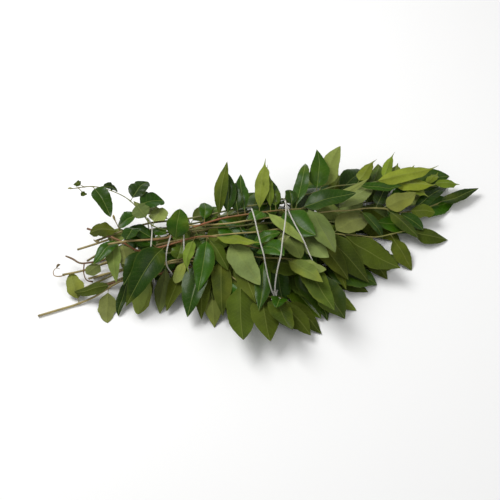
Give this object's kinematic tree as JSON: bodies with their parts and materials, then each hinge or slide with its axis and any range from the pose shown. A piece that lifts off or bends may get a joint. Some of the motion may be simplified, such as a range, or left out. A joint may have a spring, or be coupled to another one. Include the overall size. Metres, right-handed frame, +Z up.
{
  "type": "curry leaf sprig bunch",
  "caption": "Bunch of curry leaf sprigs lying on their side: long stalks with pointed leaflets along both sides, held together by turns of thin cotton twine.",
  "frame": {"origin": "on the table under the middle of the bunch", "axes": "+X from the cut ends to the leaf tips, +Y towards the far side, +Z up from the table the bunch lies on"},
  "size_m": [0.4086, 0.1842, 0.0614],
  "materials": {
    "leaf_top": "glossy dark green leaf",
    "leaf_underside": "matte pale green leaf",
    "cotton_twine": "matte off-white cotton"
  },
  "bodies": {
    "root": {"sprig_01": "leaf_underside", "sprig_02": "leaf_top", "sprig_03": "leaf_underside", "sprig_04": "leaf_underside", "sprig_05": "leaf_underside", "sprig_06": "leaf_underside", "sprig_07": "leaf_underside", "sprig_08": "leaf_top", "sprig_09": "leaf_top", "sprig_10": "leaf_underside", "sprig_11": "leaf_underside", "sprig_12": "leaf_underside", "sprig_13": "leaf_top", "sprig_14": "leaf_underside", "sprig_15": "leaf_underside", "sprig_16": "leaf_top", "sprig_17": "leaf_top", "twine": "cotton_twine"}
  },
  "joints": []
}
